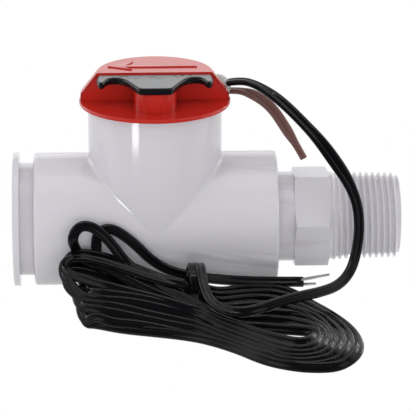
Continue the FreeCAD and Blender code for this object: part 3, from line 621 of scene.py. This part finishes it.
def foilMarks():
    s = gripSet
    top = plateLow.z + (s["section"][-1][0] + s["foilThick"]) * mm
    bm = bmesh.new()
    for x, y, long in s["marks"]:
        cube = bmesh.ops.create_cube(bm, size=1)["verts"]
        bmesh.ops.scale(bm, verts=cube, vec=(long * mm, s["markWide"] * mm, s["markThick"] * mm))
        bmesh.ops.translate(bm, verts=cube, vec=(branchX + x * mm, y * mm, top))
    return newObject("foilMarks", meshFrom(bm, "foilMarks"))


cap = capShell()
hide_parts("cap_body")
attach(cap, "housing")
grip, gripFoil, marks = gripPlate(), foil(), foilMarks()
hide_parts("test_handle")
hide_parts("handle_label")
for piece, slot in ((grip, "grip_black"), (gripFoil, "label_silver"), (marks, "grip_black")):
    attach(piece, "test_grip")
print("cap and grip made")


def addNode(tree, kind, **values):
    node = tree.nodes.new(kind)
    for key, value in values.items():
        setattr(node, key, value)
    return node


def surfaceGroup():  # slight variation of tone and gloss, and a fine relief, for moulded and drawn surfaces
    tree = bpy.data.node_groups.new("surfaceVariation", "ShaderNodeTree")
    face = tree.interface
    face.new_socket("Color", in_out="INPUT", socket_type="NodeSocketColor")
    for socket in ("Tone", "Cloud Scale", "Roughness", "Spread", "Relief", "Relief Scale"):
        face.new_socket(socket, in_out="INPUT", socket_type="NodeSocketFloat")
    face.new_socket("Color", in_out="OUTPUT", socket_type="NodeSocketColor")
    face.new_socket("Roughness", in_out="OUTPUT", socket_type="NodeSocketFloat")
    face.new_socket("Normal", in_out="OUTPUT", socket_type="NodeSocketVector")
    start = addNode(tree, "NodeGroupInput")
    end = addNode(tree, "NodeGroupOutput")
    place = addNode(tree, "ShaderNodeTexCoord")
    clouds = addNode(tree, "ShaderNodeTexNoise")
    clouds.inputs["Detail"].default_value = 3
    fine = addNode(tree, "ShaderNodeTexNoise")
    fine.inputs["Detail"].default_value = 2
    centred = addNode(tree, "ShaderNodeMath", operation="SUBTRACT")
    centred.inputs[1].default_value = 0.5
    tone = addNode(tree, "ShaderNodeMath", operation="MULTIPLY_ADD")
    tone.inputs[2].default_value = 1
    tinted = addNode(tree, "ShaderNodeVectorMath", operation="SCALE")
    gloss = addNode(tree, "ShaderNodeMath", operation="MULTIPLY_ADD")
    bump = addNode(tree, "ShaderNodeBump")
    bump.inputs["Distance"].default_value = 0.1 * mm
    link = tree.links.new
    link(place.outputs["Object"], clouds.inputs["Vector"])
    link(place.outputs["Object"], fine.inputs["Vector"])
    link(start.outputs["Cloud Scale"], clouds.inputs["Scale"])
    link(start.outputs["Relief Scale"], fine.inputs["Scale"])
    link(clouds.outputs["Fac"], centred.inputs[0])
    link(centred.outputs[0], tone.inputs[0])
    link(start.outputs["Tone"], tone.inputs[1])
    link(start.outputs["Color"], tinted.inputs[0])
    link(tone.outputs[0], tinted.inputs["Scale"])
    link(centred.outputs[0], gloss.inputs[0])
    link(start.outputs["Spread"], gloss.inputs[1])
    link(start.outputs["Roughness"], gloss.inputs[2])
    link(fine.outputs["Fac"], bump.inputs["Height"])
    link(start.outputs["Relief"], bump.inputs["Strength"])
    link(tinted.outputs[0], end.inputs["Color"])
    link(gloss.outputs[0], end.inputs["Roughness"])
    link(bump.outputs[0], end.inputs["Normal"])
    return tree


variation = surfaceGroup()
shaderSockets = {
    "metallic": "Metallic",
    "transmission": "Transmission Weight",
    "specular": "Specular IOR Level",
}


def finish(name, color, roughness, tone=0.06, spread=0.1, relief=0.1, cloud=60, grain=2500, **shader):
    material = bpy.data.materials.new(name)
    material.use_nodes = True
    tree = material.node_tree
    principled = tree.nodes["Principled BSDF"]
    group = addNode(tree, "ShaderNodeGroup", node_tree=variation)
    given = {
        "Color": (*color, 1), "Tone": tone, "Cloud Scale": cloud, "Roughness": roughness,
        "Spread": spread, "Relief": relief, "Relief Scale": grain,
    }
    for socket, value in given.items():
        group.inputs[socket].default_value = value
    tree.links.new(group.outputs["Color"], principled.inputs["Base Color"])
    tree.links.new(group.outputs["Roughness"], principled.inputs["Roughness"])
    tree.links.new(group.outputs["Normal"], principled.inputs["Normal"])
    for quality, value in shader.items():
        principled.inputs[shaderSockets[quality]].default_value = value
    return material


finishes = {
    "pvc_white": finish("whitePvc", (0.635, 0.62, 0.66), 0.09, tone=0.02, spread=0.03, relief=0.01),
    "abs_red": finish("redCapPlastic", (0.5, 0.018, 0.011), 0.2, spread=0.05, relief=0.03, specular=0.45),
    "grip_black": finish("blackGripPlastic", (0.006, 0.006, 0.008), 0.25, relief=0.05, specular=0.2),
    "label_silver": finish(
        "silverLabel", (0.25, 0.255, 0.262), 0.5, tone=0.12, cloud=220, grain=4000, metallic=0.25,
    ),
    "cord_black": finish(
        "blackInsulation", (0.0025, 0.0025, 0.0035), 0.15, tone=0.1, spread=0.03, relief=0.0, specular=0.25,
    ),
    "cord_brown": finish("brownInsulation", (0.16, 0.075, 0.065), 0.35, tone=0.15, spread=0.12, cloud=120),
    "tinned_wire": finish("tinnedStrands", (0.62, 0.61, 0.6), 0.3, tone=0.3, relief=0.5, metallic=1.0),
    "sealing_compound": finish(
        "sealingCompound", (0.62, 0.62, 0.62), 0.2, tone=0.2, relief=0.3, grain=900, transmission=0.35,
    ),
    "cup_plastic": finish("blackCupPlastic", (0.03, 0.03, 0.032), 0.42),
    "rubber_black": finish("blackRubber", (0.02, 0.02, 0.02), 0.6),
    "reed_glass": finish("reedGlass", (0.7, 0.85, 0.78), 0.05, relief=0.0, transmission=0.9),
    "epoxy_dark": finish("castCompound", (0.04, 0.035, 0.035), 0.3),
    "board_green": finish("boardLaminate", (0.02, 0.1, 0.04), 0.4),
    "splice_sleeve": finish("shrunkSleeve", (0.02, 0.02, 0.022), 0.45),
    "stainless": finish("stainlessSteel", (0.58, 0.58, 0.59), 0.28, metallic=1.0),
    "spring_steel": finish("springSteel", (0.5, 0.5, 0.52), 0.3, metallic=1.0),
    "magnet_nickel": finish("nickelPlate", (0.6, 0.59, 0.56), 0.18, metallic=1.0),
    "paddle_plastic": finish("paddlePlastic", (0.06, 0.06, 0.065), 0.4),
}
slotOf = {part["node"]: part["material_slot"] for part in record["subparts"]}
for nodeName, nodeObject in nodes.items():
    nodeObject.data.materials.clear()
    nodeObject.data.materials.append(finishes[slotOf[nodeName]])
dressed = [
    (blackCord, "cord_black"), (brownLead, "cord_brown"), (stripped, "tinned_wire"),
    (adapterHexagon, "pvc_white"), (adapterThread, "pvc_white"), (arrow, "abs_red"), (cap, "abs_red"),
    (grip, "grip_black"), (gripFoil, "label_silver"), (marks, "grip_black"),
]
for piece, slot in dressed:
    piece.data.materials.append(finishes[slot])
print("finishes made:", len(finishes))

studio = {
    "world": 0.66,
    "floor": 0.95,
    "floorSize": 3,
    "floorRoughness": 0.9,
    "roomGloss": 0.12,  # how bright the room behind the camera shows in gloss
    "roomFade": (-0.3, 0.1),  # where the world turns from that to white, from front to back
    "floorFade": (-0.1, -0.03),  # and the floor
    "lamps": [  # name, azimuth, elevation, distance, width, height, power, kind, pieces it is kept for
        ("left box", -60, 30, 0.70, 0.30, 0.50, 0.48, "both", ()),
        ("near strip", -36.5, 12, 0.17, 0.032, 0.12, 0.13, "gloss", ("tee_body",)),
        ("right box", 50, 30, 0.80, 0.30, 0.50, 0.42, "both", ()),
        ("back box", 178, 20, 0.80, 0.90, 0.35, 0.6, "both", ()),
        ("left rim", -122, 12, 0.60, 0.25, 0.40, 0.6, "both", ()),
        ("right rim", 122, 12, 0.60, 0.25, 0.40, 0.5, "both", ()),
        ("top strip", 5, 66, 0.36, 0.30, 0.016, 0.16, "gloss", ("blackTwinCord",)),
        ("top box", 0, 80, 0.70, 0.50, 0.40, 0.5, "both", ()),
        ("low fill", 2, 4, 0.85, 0.60, 0.20, 1.6, "soft", ()),
    ],
}


# white to the eye and through glass, and in gloss too, where the room behind the camera is dimmer
def seenAsWhite(tree, plain, white, place, fadeRange, shader):
    path = addNode(tree, "ShaderNodeLightPath")
    direct = addNode(tree, "ShaderNodeMath", operation="MAXIMUM")
    seen = addNode(tree, "ShaderNodeMath", operation="MAXIMUM")
    strength = addNode(tree, "ShaderNodeMath", operation="MAXIMUM")
    coordinate = addNode(tree, "ShaderNodeTexCoord")
    split = addNode(tree, "ShaderNodeSeparateXYZ")
    fade = addNode(tree, "ShaderNodeMapRange")
    mix = addNode(tree, "ShaderNodeMixShader")
    limits = (*fadeRange, studio["roomGloss"], 1)
    for socket, value in zip(("From Min", "From Max", "To Min", "To Max"), limits):
        fade.inputs[socket].default_value = value
    link = tree.links.new
    link(path.outputs["Is Camera Ray"], direct.inputs[0])
    link(path.outputs["Is Transmission Ray"], direct.inputs[1])
    link(direct.outputs[0], seen.inputs[0])
    link(path.outputs["Is Glossy Ray"], seen.inputs[1])
    link(coordinate.outputs[place], split.inputs[0])
    link(split.outputs["Y"], fade.inputs["Value"])
    link(direct.outputs[0], strength.inputs[0])
    link(fade.outputs[0], strength.inputs[1])
    link(strength.outputs[0], white.inputs["Strength"])
    link(seen.outputs[0], mix.inputs[0])
    link(plain, mix.inputs[1])
    link(white.outputs[0], mix.inputs[2])
    link(mix.outputs[0], shader)


def makeWorld():
    world = bpy.data.worlds.new("studio")
    bpy.context.scene.world = world
    world.use_nodes = True
    tree = world.node_tree
    plain = tree.nodes["Background"]
    plain.inputs["Color"].default_value = (1, 1, 1, 1)
    plain.inputs["Strength"].default_value = studio["world"]
    white = addNode(tree, "ShaderNodeBackground")
    white.inputs["Color"].default_value = (1, 1, 1, 1)
    surface = tree.nodes["World Output"].inputs["Surface"]
    seenAsWhite(tree, plain.outputs[0], white, "Generated", studio["roomFade"], surface)


def makeFloor():
    bm = bmesh.new()
    bmesh.ops.create_grid(bm, x_segments=1, y_segments=1, size=studio["floorSize"])
    floor = newObject("floor", meshFrom(bm, "floor"))
    paint = bpy.data.materials.new("paleFloor")
    paint.use_nodes = True
    tree = paint.node_tree
    base = tree.nodes["Principled BSDF"]
    base.inputs["Base Color"].default_value = (studio["floor"],) * 3 + (1,)
    base.inputs["Roughness"].default_value = studio["floorRoughness"]
    glow = addNode(tree, "ShaderNodeEmission")
    glow.inputs["Color"].default_value = (1, 1, 1, 1)
    surface = tree.nodes["Material Output"].inputs["Surface"]
    seenAsWhite(tree, base.outputs[0], glow, "Object", studio["floorFade"], surface)
    floor.data.materials.append(paint)


def hangLamps():
    middle = Vector(cameraSet["target"])
    for name, azimuth, elevation, distance, width, height, power, kind, keptFor in studio["lamps"]:
        lamp = bpy.data.lights.new(name, "AREA")
        lamp.shape = "RECTANGLE"
        lamp.size, lamp.size_y, lamp.energy = width, height, power
        holder = bpy.data.objects.new(name, lamp)
        bpy.context.scene.collection.objects.link(holder)
        away = viewBack(azimuth, elevation)
        holder.location = middle + away * distance
        holder.rotation_euler = away.to_track_quat("Z", "Y").to_euler()
        holder.visible_camera = False
        holder.visible_diffuse = kind != "gloss"
        holder.visible_glossy = kind != "soft"
        if keptFor:
            lit = bpy.data.collections.new(name)
            for piece in keptFor:
                lit.objects.link(bpy.data.objects[piece])
            holder.light_linking.receiver_collection = lit


makeWorld()
makeFloor()
hangLamps()
print("studio lit")
